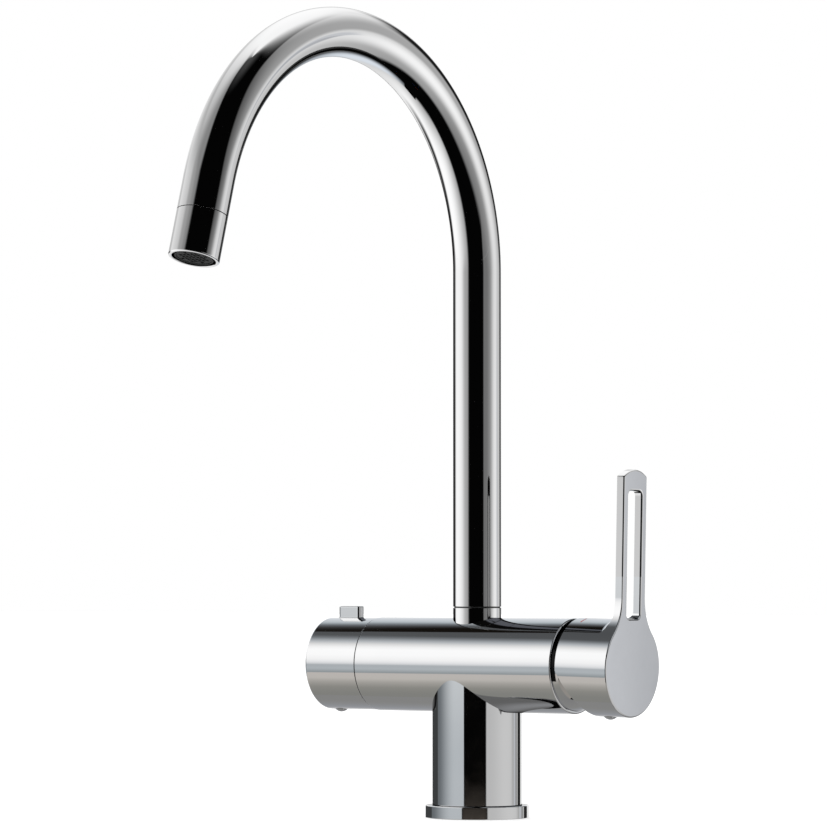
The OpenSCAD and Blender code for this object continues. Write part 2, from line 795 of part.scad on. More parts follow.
// Two opposite openings let the water through when the moving disc turns a quarter
module disc_openings(x0, x1, turn)
    difference() {
        for (side = [0, 180]) sector(x0, x1, flow_r, turn + side, 84);
        ring_x(x0 - cut, x1 + cut, disc_hub_r);
    }

module valve_fixed_disc()
    color("whitesmoke") difference() {
        ring_x(valve_disc_x - valve_disc_t, valve_disc_x, cage_bore - slip);
        disc_openings(valve_disc_x - valve_disc_t - cut, valve_disc_x + cut, 0);
    }

module valve_moving_disc()
    color("whitesmoke") difference() {
        ring_x(yoke_x + film, yoke_x + film + valve_disc_t, cage_bore - swing_gap);
        disc_openings(yoke_x - cut, valve_disc_x, 90);
    }

// The yoke's two fingers push the moving disc round
module valve_spindle()
    color("goldenrod") difference() {
        yoke_r = cage_bore - swing_gap;
        head_x = thread_end + 0.4;
        union() {
            ring_x(head_x, head_x + 3.6, yoke_r);
            for (side = [0, 180]) intersection() {
                ring_x(head_x + 3, yoke_x, yoke_r, flow_r);
                translate([0, 0, axis_h]) rotate([side, 0, 0]) translate([0, -yoke_half, 0])
                    translate([head_x, 0, 0]) cube([yoke_x - head_x, 2 * yoke_half, yoke_r]);
            }
            ring_x(-barrel_left - 12, head_x + 1, valve_shaft_r);
            block(knob_end + 2.6, -barrel_left - 11, square_side / 2, -square_side / 2, square_side / 2);
        }
        ring_x(valve_o_x - valve_groove_half, valve_o_x + valve_groove_half, valve_shaft_r + 1,
            valve_shaft_r - valve_groove_half);
    }

module valve_o_ring()
    color("dimgray") along_x(valve_o_x) rotate_extrude()
        translate([valve_shaft_r + 0.02 - valve_o_r, 0]) circle(r = valve_o_r);

// A cup with a thick end plate, a socket for the spindle, a wall for the screw and a tab on top
module valve_knob() {
    inner_x = knob_end + knob_plate;
    half = square_side / 2 + slip;
    color("silver") difference() {
        union() {
            turned([[0, knob_end], [knob_r - 1, knob_end], [knob_r - edge, knob_end + edge],
                [knob_r, knob_end + 1], [knob_r, knob_x - edge], [knob_r - edge, knob_x], [0, knob_x]]);
            translate([tab_x - tab_len / 2, -tab_t / 2, axis_h + knob_r - 1])
                cube([tab_len, tab_t, tab_h + 1]);
        }
        difference() {
            ring_x(inner_x, knob_x + cut, knob_r - knob_wall);
            ring_x(inner_x - cut, -barrel_left - 12.5, hub_socket_r);
            intersection() {
                upright(knob_screw_x, 0, axis_h - knob_r, axis_h, screw_wall_r);
                ring_x(knob_end, knob_x, knob_r - 1);
            }
        }
        block(knob_end + 2.4, knob_x, half, -half, half);
        translate([knob_screw_x, 0, axis_h]) screw_hole(knob_r);
    }
}

module knob_set_screw()
    color("dimgray") translate([knob_screw_x, 0, axis_h]) set_screw(-square_side / 2);

module knob_screw_cap()
    color("silver") translate([knob_screw_x, 0, axis_h]) screw_cap(knob_r);

mixer_body();
base_ring();
base_gasket();
spout_slide_washer();
spout_retaining_screw();
cartridge_base();
cartridge_seals();
cartridge_fixed_disc();
cartridge_housing();
cartridge_nut();
dome_cover();
valve_headwork();
valve_seat_gasket();
valve_fixed_disc();
spout_tube();
spout_foot();
spout_o_rings();
spout_end_collar();
aerator_sleeve();
aerator_gasket();
aerator_insert();
aerator_grid();
cartridge_rotor();
spindle_pin();
cartridge_moving_disc();
cartridge_spindle();
lever_handle();
lever_set_screw();
lever_screw_cap();
hot_mark();
cold_mark();
valve_knob();
knob_set_screw();
knob_screw_cap();
valve_spindle();
valve_o_ring();
valve_moving_disc();
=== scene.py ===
import json
from math import acos, cos, pi, radians, sin, sqrt, tan, tau

import bmesh
import bpy
from mathutils import Matrix, Vector


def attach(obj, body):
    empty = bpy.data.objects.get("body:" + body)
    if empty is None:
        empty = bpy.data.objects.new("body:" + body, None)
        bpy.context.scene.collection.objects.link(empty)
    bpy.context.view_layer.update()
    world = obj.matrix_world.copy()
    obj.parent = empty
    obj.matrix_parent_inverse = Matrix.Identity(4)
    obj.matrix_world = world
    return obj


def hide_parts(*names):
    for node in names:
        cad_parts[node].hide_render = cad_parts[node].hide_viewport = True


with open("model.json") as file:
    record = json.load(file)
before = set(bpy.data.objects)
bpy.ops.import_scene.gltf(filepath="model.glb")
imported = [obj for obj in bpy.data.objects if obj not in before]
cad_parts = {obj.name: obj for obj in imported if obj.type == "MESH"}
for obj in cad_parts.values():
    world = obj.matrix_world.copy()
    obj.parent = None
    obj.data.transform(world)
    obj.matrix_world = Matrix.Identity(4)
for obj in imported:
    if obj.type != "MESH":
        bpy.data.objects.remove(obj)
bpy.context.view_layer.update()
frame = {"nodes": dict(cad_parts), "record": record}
scene = bpy.context.scene
nodes = frame["nodes"]

# Camera: a long lens just above the worktop, at the front right
view = {"lens": 193.34, "place": (1.2811, -1.8192, 0.1166), "turn": 35.974, "tilt": 2.194}

cameraData = bpy.data.cameras.new("camera")
cameraData.lens = view["lens"]
cameraData.sensor_width = 36
cameraData.clip_end = 50
camera = bpy.data.objects.new("camera", cameraData)
camera.location = view["place"]
camera.rotation_euler = (radians(90 + view["tilt"]), 0, radians(view["turn"]))
scene.collection.objects.link(camera)
scene.camera = camera
print("camera ready")


# Shader helpers

def newMaterial(name, **values):
    material = bpy.data.materials.new(name)
    material.use_nodes = True
    tree = material.node_tree
    shader = tree.nodes["Principled BSDF"]
    for key, value in values.items():
        shader.inputs[key].default_value = value
    return material, tree, shader


def addNode(tree, kind, inputs=(), **settings):
    # each input is given as a socket or a value
    node = tree.nodes.new(kind)
    for key, value in settings.items():
        setattr(node, key, value)
    for key, value in dict(inputs).items():
        if isinstance(value, bpy.types.NodeSocket):
            tree.links.new(value, node.inputs[key])
        else:
            node.inputs[key].default_value = value
    return node


def newGroup(name, inputs, outputs):
    group = bpy.data.node_groups.new(name, "ShaderNodeTree")
    for label, kind, value in inputs:
        socket = group.interface.new_socket(label, in_out="INPUT", socket_type="NodeSocket" + kind)
        if value is not None:
            socket.default_value = value
    for label, kind in outputs:
        group.interface.new_socket(label, in_out="OUTPUT", socket_type="NodeSocket" + kind)
    given = group.nodes.new("NodeGroupInput").outputs
    made = group.nodes.new("NodeGroupOutput").inputs
    return group, given, made


def figure(tree, operation, *values):
    return addNode(tree, "ShaderNodeMath", dict(enumerate(values)), operation=operation).outputs[0]


def spread(tree, value, low, high, **settings):
    # 0 at the low end and 1 at the high end, which may also lie below it
    return addNode(tree, "ShaderNodeMapRange", {"Value": value, "From Min": low, "From Max": high},
                   **settings).outputs["Result"]


def mix(tree, factor, first, second):
    # a colour between two colours, each given as a socket or a value
    node = addNode(tree, "ShaderNodeMix", {"Factor": factor}, data_type="RGBA")
    for label, value in (("A_Color", first), ("B_Color", second)):
        socket = next(s for s in node.inputs if s.identifier == label)
        if isinstance(value, bpy.types.NodeSocket):
            tree.links.new(value, socket)
        else:
            socket.default_value = value
    return next(s for s in node.outputs if s.identifier == "Result_Color")


def objectPosition(tree):
    return addNode(tree, "ShaderNodeTexCoord").outputs["Object"]


def makeTextureGroup():
    # broad clouds, and a fine grain that Stretch can draw out into lathe lines
    group, given, made = newGroup("surface texture", [
        ("Position", "Vector", None), ("Cloud Size", "Float", 0.03),
        ("Grain Size", "Float", 0.001), ("Stretch", "Vector", (1, 1, 1))],
        [("Cloud", "Float"), ("Grain", "Float")])
    drawn = addNode(group, "ShaderNodeVectorMath", {0: given["Position"], 1: given["Stretch"]},
                    operation="MULTIPLY")
    for label, position, detail, roughness in (("Cloud", given["Position"], 3, 0.55),
                                               ("Grain", drawn.outputs[0], 2, 0.6)):
        noise = addNode(group, "ShaderNodeTexNoise", {
            "Vector": position, "Scale": figure(group, "DIVIDE", 1, given[label + " Size"]),
            "Detail": detail, "Roughness": roughness})
        # noise keeps to the middle of its range, so it is spread out over the whole of it
        group.links.new(spread(group, noise.outputs["Fac"], 0.3, 0.7), made[label])
    return group


textureGroup = makeTextureGroup()


def makeFinish(name, look):
    # look: two tones, two roughnesses, sizes of clouds and grain, depth and stretch of the grain
    material, tree, shader = newMaterial(name, Metallic=look["metal"], **look.get("values", {}))
    texture = addNode(tree, "ShaderNodeGroup", node_tree=textureGroup)
    tree.links.new(objectPosition(tree), texture.inputs["Position"])
    texture.inputs["Cloud Size"].default_value = look["cloud"]
    texture.inputs["Grain Size"].default_value = look["grain"]
    texture.inputs["Stretch"].default_value = look.get("stretch", (1, 1, 1))
    cloud, grain = texture.outputs["Cloud"], texture.outputs["Grain"]
    first, second = [shown + (1,) for shown in look["tones"]]
    tree.links.new(mix(tree, cloud, first, second), shader.inputs["Base Color"])
    average = figure(tree, "MULTIPLY", figure(tree, "ADD", cloud, grain), 0.5)
    rough = addNode(tree, "ShaderNodeMapRange", {
        "Value": average, "To Min": look["rough"][0], "To Max": look["rough"][1]})
    tree.links.new(rough.outputs["Result"], shader.inputs["Roughness"])
    bump = addNode(tree, "ShaderNodeBump", {
        "Height": grain, "Distance": look["depth"], "Strength": 1})
    tree.links.new(bump.outputs["Normal"], shader.inputs["Normal"])
    return material


# sizes and depths in metres
brassTones = ((0.72, 0.55, 0.27), (0.8, 0.65, 0.37))
looks = {
    "chrome": {
        "tones": ((0.922, 0.924, 0.928), (0.938, 0.938, 0.94)), "metal": 1, "rough": (0.015, 0.075),
        "cloud": 0.035, "grain": 0.012, "depth": 1.2e-6},
    "brass": {
        "tones": brassTones, "metal": 1, "rough": (0.2, 0.36),
        "cloud": 0.006, "grain": 0.0003, "depth": 4e-6, "stretch": (1, 0.02, 0.02)},
    "upright_brass": {
        "tones": brassTones, "metal": 1, "rough": (0.2, 0.36),
        "cloud": 0.006, "grain": 0.0003, "depth": 4e-6, "stretch": (0.02, 0.02, 1)},
    # the collar's brass, near black as painted shade: it stands in for the shade in the narrow seam
    # between tube and sleeve
    "painted_shade_brass": {
        "tones": ((0.045, 0.036, 0.024), (0.07, 0.056, 0.038)), "metal": 1, "rough": (0.3, 0.45),
        "cloud": 0.006, "grain": 0.0003, "depth": 4e-6, "stretch": (0.02, 0.02, 1)},
    "steel": {
        "tones": ((0.54, 0.55, 0.57), (0.63, 0.64, 0.66)), "metal": 1, "rough": (0.22, 0.4),
        "cloud": 0.004, "grain": 0.0003, "depth": 3e-6, "stretch": (1, 0.05, 0.05)},
    "cartridge_plastic": {
        "tones": ((0.85, 0.84, 0.785), (0.9, 0.89, 0.845)), "metal": 0, "rough": (0.42, 0.6),
        "cloud": 0.01, "grain": 0.0004, "depth": 8e-6},
    "ceramic": {
        "tones": ((0.92, 0.91, 0.875), (0.955, 0.945, 0.92)), "metal": 0, "rough": (0.12, 0.24),
        "cloud": 0.005, "grain": 0.0002, "depth": 1e-6},
    "rubber": {
        "tones": ((0.038, 0.038, 0.04), (0.062, 0.06, 0.06)), "metal": 0, "rough": (0.6, 0.82),
        "cloud": 0.006, "grain": 0.0004, "depth": 2e-5},
    "washer_plastic": {
        "tones": ((0.022, 0.022, 0.024), (0.038, 0.038, 0.04)), "metal": 0, "rough": (0.4, 0.55),
        "cloud": 0.008, "grain": 0.0004, "depth": 6e-6},
    # the aerator's dark plastic, given tones darker still: partly its own colour and partly painted
    # shade for the inside of the outlet's mouth
    "aerator_plastic": {
        "tones": ((0.016, 0.017, 0.017), (0.034, 0.036, 0.034)), "metal": 0, "rough": (0.4, 0.6),
        "cloud": 0.004, "grain": 0.0003, "depth": 8e-6, "values": {"Specular IOR Level": 0.12}},
    "hot_paint": {
        "tones": ((0.62, 0.03, 0.028), (0.76, 0.06, 0.055)), "metal": 0, "rough": (0.18, 0.32),
        "cloud": 0.003, "grain": 0.0005, "depth": 6e-6, "values": {"Coat Weight": 0.4}},
    "cold_paint": {
        "tones": ((0.022, 0.1, 0.52), (0.04, 0.14, 0.66)), "metal": 0, "rough": (0.18, 0.32),
        "cloud": 0.003, "grain": 0.0005, "depth": 6e-6, "values": {"Coat Weight": 0.4}},
}
finishes = {name: makeFinish(name.replace("_", " "), look) for name, look in looks.items()}
print("finishes ready")


# Shape helpers: pieces are drawn in millimetres and shrunk to metres when they are finished

mm = 0.001
past = 1  # how far a cutter reaches past the metal that it cuts
near = 0.01  # an edge this close to a face belongs to it
facets = {"large": 480, "dome": 360, "middle": 240, "pocket": 128, "small": 96, "screw": 72}
sharpAngle = 35  # edges that turn by more stay sharp
lieX = Matrix.Rotation(pi / 2, 4, "Y")  # lays an upright piece along X


def shifted(x, y, z):
    return Matrix.Translation((x, y, z))


def vertsOf(made):
    return [v for v in made if isinstance(v, bmesh.types.BMVert)]


def rounded(corners, parts):
    # corners are (x, y, radius), and each corner with a radius becomes an arc
    points = []
    for i, (x, y, radius) in enumerate(corners):
        here = Vector((x, y))
        if not radius:
            points.append((x, y))
            continue
        back = (Vector(corners[i - 1][:2]) - here).normalized()
        ahead = (Vector(corners[(i + 1) % len(corners)][:2]) - here).normalized()
        half = back.angle(ahead) / 2
        centre = here + (back + ahead).normalized() * radius / sin(half)
        start = here + back * radius / tan(half) - centre
        end = here + ahead * radius / tan(half) - centre
        for part in range(parts + 1):
            points.append(tuple(centre + start.slerp(end, part / parts) * radius))
    return points


def arc(centre, radius, start, end, parts):
    # points on a circle, with angles in degrees
    turns = [radians(start + (end - start) * part / parts) for part in range(parts + 1)]
    return [(centre[0] + radius * cos(turn), centre[1] + radius * sin(turn)) for turn in turns]


def turned(outline, steps, closed=True):
    # an outline of (radius, height) spun about Z; an open one starts and ends on the axis
    bm = bmesh.new()
    verts = [bm.verts.new((radius, 0, height)) for radius, height in outline]
    edges = [bm.edges.new(pair) for pair in zip(verts, verts[1:])]
    if closed:
        edges.append(bm.edges.new((verts[-1], verts[0])))
    bmesh.ops.spin(bm, geom=verts + edges, cent=(0, 0, 0), axis=(0, 0, 1), dvec=(0, 0, 0),
                   angle=tau, steps=steps, use_merge=True)
    bmesh.ops.remove_doubles(bm, verts=bm.verts, dist=1e-5)
    bmesh.ops.recalc_face_normals(bm, faces=bm.faces)
    return bm


def raised(outline, low, high):
    # a flat outline given a height along Z
    bm = bmesh.new()
    face = bm.faces.new([bm.verts.new((x, y, low)) for x, y in outline])
    top = bmesh.ops.extrude_face_region(bm, geom=[face])["geom"]
    bmesh.ops.translate(bm, vec=(0, 0, high - low), verts=vertsOf(top))
    bmesh.ops.recalc_face_normals(bm, faces=bm.faces)
    return bm


def peg(radius, low, high, steps):
    # a plain round cutter
    return turned([(0, low), (radius, low), (radius, high), (0, high)], steps, closed=False)


def block(size, middle):
    # a plain square cutter
    bm = bmesh.new()
    bmesh.ops.create_cube(bm, size=1)
    bmesh.ops.scale(bm, vec=size, verts=bm.verts)
    bmesh.ops.translate(bm, vec=middle, verts=bm.verts)
    return bm


def pull(bm, edges, offset):
    # carries a loop of edges along in one straight length
    made = bmesh.ops.extrude_edge_only(bm, edges=edges)["geom"]
    bmesh.ops.translate(bm, vec=offset, verts=vertsOf(made))
    return [e for e in made if isinstance(e, bmesh.types.BMEdge)]


def place(bm, matrix):
    bmesh.ops.transform(bm, matrix=matrix, verts=bm.verts)
    if matrix.is_negative:
        bmesh.ops.reverse_faces(bm, faces=bm.faces)
    return bm


def newObject(name, bm, material=None):
    mesh = bpy.data.meshes.new(name)
    bm.to_mesh(mesh)
    bm.free()
    if material:
        mesh.materials.append(material)
    made = bpy.data.objects.new(name, mesh)
    scene.collection.objects.link(made)
    return made


def combine(bm, other, operation="DIFFERENCE"):
    # one solid cut from, joined to or kept within another
    blanks = [newObject("blank", part) for part in (bm, other)]
    cut = blanks[0].modifiers.new("cut", "BOOLEAN")
    cut.operation = operation
    cut.solver = "EXACT"
    cut.object = blanks[1]
    result = bmesh.new()
    result.from_object(blanks[0], bpy.context.evaluated_depsgraph_get())
    for blank in blanks:
        bpy.data.meshes.remove(blank.data)
    bmesh.ops.remove_doubles(result, verts=result.verts, dist=1e-4)
    return result


def soften(bm, width, segments, where, angle=40):
    # rounds the edges sharper than the angle whose middle passes the test
    edges = [e for e in bm.edges if e.is_manifold and e.calc_face_angle(0) > radians(angle)
             and where((e.verts[0].co + e.verts[1].co) / 2)]
    bmesh.ops.bevel(bm, geom=edges, offset=width, offset_type="OFFSET", segments=segments,
                    profile=0.5, affect="EDGES", material=-1, clamp_overlap=True)
    return bm


def makePiece(name, bm, body, replaced, slot="chrome", material=None):
    # a finished piece: body that it rides on, CAD node that it replaces, slot and finish
    bmesh.ops.scale(bm, vec=(mm, mm, mm), verts=bm.verts)
    bmesh.ops.remove_doubles(bm, verts=bm.verts, dist=2e-8)
    bmesh.ops.recalc_face_normals(bm, faces=bm.faces)
    for face in bm.faces:
        face.smooth = True
    for edge in bm.edges:
        edge.smooth = edge.smooth and edge.calc_face_angle(pi) < radians(sharpAngle)
    piece = newObject(name, bm, material or finishes[slot])
    normals = piece.modifiers.new("even shading", "WEIGHTED_NORMAL")
    normals.keep_sharp = True
    normals.weight = 100
    normals.thresh = 1e-7
    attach(piece, body)
    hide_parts(replaced)
    return piece


# Body: a level barrel on a column, with a short boss for the spout
body = {
    "axis": 76, "barrelRadius": 23.6, "left": -59.1, "right": 59.8, "chamfer": 0.8, "edge": 0.15,
    "columnRadius": 22.4, "columnEdge": 0.25, "spigotRadius": 20.5, "spigotEdge": 0.3,
    "ringHeight": 6.3, "bossRadius": 12, "bossTop": 104.6, "bossEdge": 0.3,
    "boreRadius": 18, "boreTop": 30, "footRadius": 9.75, "footFloor": 79.2,
    "pocketRadius": 17.55, "pocketStart": 34, "nutRadius": 19.05, "nutStart": 52,
    "valveRadius": 10.5, "valveEnd": -46, "chamberRadius": 9.25, "chamberEnd": -24,
}
axisPlace = shifted(0, 0, body["axis"])
alongX = axisPlace @ lieX

tapBody = place(turned(rounded([
    (0, body["left"], 0), (body["barrelRadius"], body["left"], body["edge"]),
    (body["barrelRadius"], body["right"], body["chamfer"]), (0, body["right"], 0)], 4),
    facets["large"], closed=False), alongX)
column = turned(rounded([
    (0, 0, 0), (body["spigotRadius"], 0, body["spigotEdge"]),
    (body["spigotRadius"], body["ringHeight"], 0),
    (body["columnRadius"], body["ringHeight"], body["columnEdge"]),
    (body["columnRadius"], body["axis"], 0), (0, body["axis"], 0)], 3),
    facets["large"], closed=False)
tapBody = combine(tapBody, column, "UNION")
boss = turned(rounded([
    (0, body["axis"], 0), (body["bossRadius"], body["axis"], 0),
    (body["bossRadius"], body["bossTop"], body["bossEdge"]), (0, body["bossTop"], 0)], 3),
    facets["middle"], closed=False)
tapBody = combine(tapBody, boss, "UNION")
tapBody = combine(tapBody, peg(body["boreRadius"], -past, body["boreTop"], facets["small"]))
tapBody = combine(tapBody, peg(body["footRadius"], body["footFloor"], body["bossTop"] + past,
                               facets["small"]))
rightPocket = turned([
    (0, body["pocketStart"]), (body["pocketRadius"], body["pocketStart"]),
    (body["pocketRadius"], body["nutStart"]), (body["nutRadius"], body["nutStart"]),
    (body["nutRadius"], body["right"] + past), (0, body["right"] + past)],
    facets["pocket"], closed=False)
tapBody = combine(tapBody, place(rightPocket, alongX))
leftPocket = turned([
    (0, body["left"] - past), (body["valveRadius"], body["left"] - past),
    (body["valveRadius"], body["valveEnd"]), (body["chamberRadius"], body["valveEnd"]),
    (body["chamberRadius"], body["chamberEnd"]), (0, body["chamberEnd"])],
    facets["small"], closed=False)
tapBody = combine(tapBody, place(leftPocket, alongX))


def onCrease(spot):
    # where the barrel meets the column
    fromAxis = Vector((spot.y, spot.z - body["axis"])).length
    return (abs(spot.xy.length - body["columnRadius"]) < 2 * near
            and abs(fromAxis - body["barrelRadius"]) < 2 * near)


for edge in tapBody.edges:
    # the crease is sharp all round, also where it is shallow
    edge.smooth = not all(onCrease(v.co) for v in edge.verts)
makePiece("tap_body_casting", tapBody, "tap_body", "mixer_body")

# Base ring with a groove below for its gasket
ring = {"bore": 20.6, "radius": 25.85, "edge": 0.5, "footEdge": 0.25, "boreFoot": 0.2,
        "smallEdge": 0.1, "grooveFrom": 22, "grooveTo": 24.2, "grooveHeight": 1.6}
baseRing = turned(rounded([
    (ring["bore"], 0, ring["boreFoot"]), (ring["grooveFrom"], 0, ring["smallEdge"]),
    (ring["grooveFrom"], ring["grooveHeight"], 0), (ring["grooveTo"], ring["grooveHeight"], 0),
    (ring["grooveTo"], 0, ring["smallEdge"]), (ring["radius"], 0, ring["footEdge"]),
    (ring["radius"], body["ringHeight"], ring["edge"]),
    (ring["bore"], body["ringHeight"], ring["smallEdge"])], 4), facets["large"])
makePiece("ring_foot", baseRing, "tap_body", "base_ring")
print("body and base ring ready")

# Spout: a bent tube
spout = {"low": 105.15, "riserTop": 272.3, "radius": 11.99, "wall": 1.5, "bendRadius": 110,
         "bend": 163.5, "straight": 16.8, "edge": 0.08, "facets": 144, "bendSteps": 160}
bendCentre = Vector((0, -spout["bendRadius"], spout["riserTop"]))
tube = bmesh.new()
bmesh.ops.create_circle(tube, radius=spout["radius"], segments=spout["facets"],
                        matrix=shifted(0, 0, spout["low"]))
edges = pull(tube, list(tube.edges), (0, 0, spout["riserTop"] - spout["low"]))
edges = [e for e in edges if len(e.link_faces) == 1]
bent = bmesh.ops.spin(tube, geom=list({v for e in edges for v in e.verts}) + edges,
                      cent=bendCentre, axis=(1, 0, 0), dvec=(0, 0, 0),
                      angle=radians(spout["bend"]), steps=spout["bendSteps"],
                      use_merge=False)["geom_last"]
edges = [e for e in bent if isinstance(e, bmesh.types.BMEdge)]
flow = Matrix.Rotation(radians(spout["bend"]), 3, "X") @ Vector((0, 0, 1))
pull(tube, edges, flow * spout["straight"])
bmesh.ops.remove_doubles(tube, verts=tube.verts, dist=1e-5)
bmesh.ops.recalc_face_normals(tube, faces=tube.faces)
spoutPiece = makePiece("spout_bent_tube", tube, "spout", "spout_tube")
wall = spoutPiece.modifiers.new("tube wall", "SOLIDIFY")
wall.thickness = spout["wall"] * mm
wall.offset = -1
wall.use_even_offset = True
roundEnds = spoutPiece.modifiers.new("eased ends", "BEVEL")
roundEnds.width = spout["edge"] * mm
roundEnds.segments = 3
roundEnds.limit_method = "ANGLE"
roundEnds.angle_limit = radians(60)
spoutPiece.modifiers.move(0, 2)

# Outlet: a sleeve with a stepped mouth
outlet = {"start": 0.38, "length": 22.35, "lip": 0.6, "mouth": 10.35, "mouthEdge": 0.3,
          "mouthDepth": 4.96, "shoulder": 9.8, "shoulderLow": 10, "collar": 10.5,
          "seamEdge": 0.06, "smallEdge": 0.1}
outletPlace = (Matrix.Translation(bendCentre) @ Matrix.Rotation(radians(spout["bend"]), 4, "X")
               @ shifted(0, spout["bendRadius"], spout["straight"]))
mouthFloor = outlet["length"] - outlet["mouthDepth"]
sleeve = turned(rounded([
    (outlet["collar"], outlet["start"], outlet["smallEdge"]),
    (spout["radius"], outlet["start"], outlet["seamEdge"]),
    (spout["radius"], outlet["length"], outlet["lip"]),
    (outlet["mouth"], outlet["length"], outlet["mouthEdge"]),
    (outlet["mouth"], mouthFloor, outlet["smallEdge"]),
    (outlet["shoulder"], mouthFloor, outlet["smallEdge"]),
    (outlet["shoulder"], outlet["shoulderLow"], 0),
    (outlet["collar"], outlet["shoulderLow"], 0)], 4), facets["middle"])
makePiece("outlet_sleeve", place(sleeve, outletPlace), "spout", "aerator_sleeve")
print("spout ready")

# Cover: a domed plug in the barrel's end, round the spindle
cover = {"pivot": 56, "radius": 22.6, "wall": 1.2, "opening": 14.2, "nutBore": 19.05, "nutEnd": 62,
         "outerRings": 32, "innerRings": 20,
         # where the dome's painted shade begins and ends, how softly it fades, and its tone
         "shadeAbove": 68.8, "shadeEnd": 61.75, "shadeFade": 0.15, "shadeTone": 0.012}


def shell(radius, start, end, rings):
    # points on a ball about the lever's pivot, from one place along the axis to another
    along = [start + (end - start) * part / rings for part in range(rings + 1)]
    return [(sqrt(radius ** 2 - (x - cover["pivot"]) ** 2), x) for x in along]


innerRadius = cover["radius"] - cover["wall"]
outerEnd = cover["pivot"] + sqrt(cover["radius"] ** 2 - cover["opening"] ** 2)
innerEnd = cover["pivot"] + sqrt(innerRadius ** 2 - cover["opening"] ** 2)
dome = turned(
    [(cover["nutBore"], body["right"])]
    + shell(cover["radius"], body["right"], outerEnd, cover["outerRings"])
    + shell(innerRadius, innerEnd, cover["nutEnd"], cover["innerRings"])
    + [(cover["nutBore"], cover["nutEnd"])], facets["dome"])

# painted shade: in the gap between barrel and hub, down to a little below its middle, the dome's
# colour and specular tint are darkened to stand in for the shade of that deep gap
shadedDomeChrome = makeFinish("dome chrome", looks["chrome"])
tree = shadedDomeChrome.node_tree
shader = tree.nodes["Principled BSDF"]
spot = addNode(tree, "ShaderNodeSeparateXYZ", {"Vector": objectPosition(tree)}).outputs
above = spread(tree, spot["Z"], (cover["shadeAbove"] - cover["shadeFade"]) * mm,
               (cover["shadeAbove"] + cover["shadeFade"]) * mm)
inGap = spread(tree, spot["X"], (cover["shadeEnd"] + cover["shadeFade"]) * mm,
               (cover["shadeEnd"] - cover["shadeFade"]) * mm)
dark = figure(tree, "MULTIPLY", above, inGap)
shadeTone = (cover["shadeTone"],) * 3 + (1,)
lit = shader.inputs["Base Color"].links[0].from_socket
tree.links.new(mix(tree, dark, lit, shadeTone), shader.inputs["Base Color"])
tree.links.new(mix(tree, dark, (1, 1, 1, 1), shadeTone), shader.inputs["Specular Tint"])
makePiece("domed_cover", place(dome, alongX), "tap_body", "dome_cover", material=shadedDomeChrome)

# Lever: a round hub with a slotted blade, a wedge cut away below and a hollow inside
lever = {
    "hubStart": 63.1, "face": 92.9, "hubRadius": 24.1, "bladeWidth": 20.4, "bladeThick": 4.2,
    "top": 97, "tipRise": 3.3, "tipCorner": 3.2, "flankRadius": 26, "flareRadius": 4.5,
    "slotWidth": 12, "slotLow": 24.2, "slotHigh": 86.7, "slotCorner": 2.6,
    "edge": 0.8, "slotEdge": 1, "backEdge": 1.3, "lean": 1.2,
    "cutAngle": 28, "cutStart": -1.5, "cutLong": 30, "cutWide": 100, "cutHigh": 100,
    "skirtWall": 2.1, "skirtFloor": 1, "sweep": 22.95, "innerBoss": 8.5,
    "socketHalf": 4.05, "socketEnd": 90, "screwAt": 80.3, "screwWall": 4.8,
    "markAt": 68.4, "markWidth": 0.8, "markDeep": 0.6, "markFrom": 10.5, "markTo": 24,
    "paintSlip": 0.02, "paintSunk": 0.06, "paintEdge": 0.1,
}
screw = {"radius": 2.5, "plugRadius": 3, "plugLength": 7.5, "capRadius": 3.7, "capSunk": 0.6,
         "capRise": 1.4, "capEdge": 0.15, "slip": 0.05}
leverPlace = (shifted(cover["pivot"], 0, body["axis"])
              @ Matrix.Rotation(radians(lever["lean"]), 4, "Y") @ shifted(-cover["pivot"], 0, 0))
# flat outlines are drawn as (up, across) and stood on the barrel's axis
standing = Matrix(((0, 0, 1, 0), (0, 1, 0, 0), (1, 0, 0, 0), (0, 0, 0, 1)))


def leverOutline():
    # blade up, as (up, across) points: hub, flank, blade side, crowned tip and back again
    half = lever["bladeWidth"] / 2
    tipRadius = (half ** 2 + lever["tipRise"] ** 2) / (2 * lever["tipRise"])
    flankAcross = half + lever["flankRadius"]
    flankUp = sqrt((lever["hubRadius"] + lever["flankRadius"]) ** 2 - flankAcross ** 2)
    meet = acos(flankUp / (lever["hubRadius"] + lever["flankRadius"])) * 180 / pi
    hub = arc((0, 0), lever["hubRadius"], 360 - meet, meet, 300)[:-1]
    flank = arc((flankUp, flankAcross), lever["flankRadius"], 180 + meet, 270, 36)
    tipTurn = acos((tipRadius - lever["tipRise"]) / tipRadius) * 180 / pi
    tip = arc((lever["top"] - tipRadius, 0), tipRadius, tipTurn, -tipTurn, 48)
    otherFlank = [(up, -across) for up, across in reversed(flank)]
    return hub + flank + tip + otherFlank[:-1]


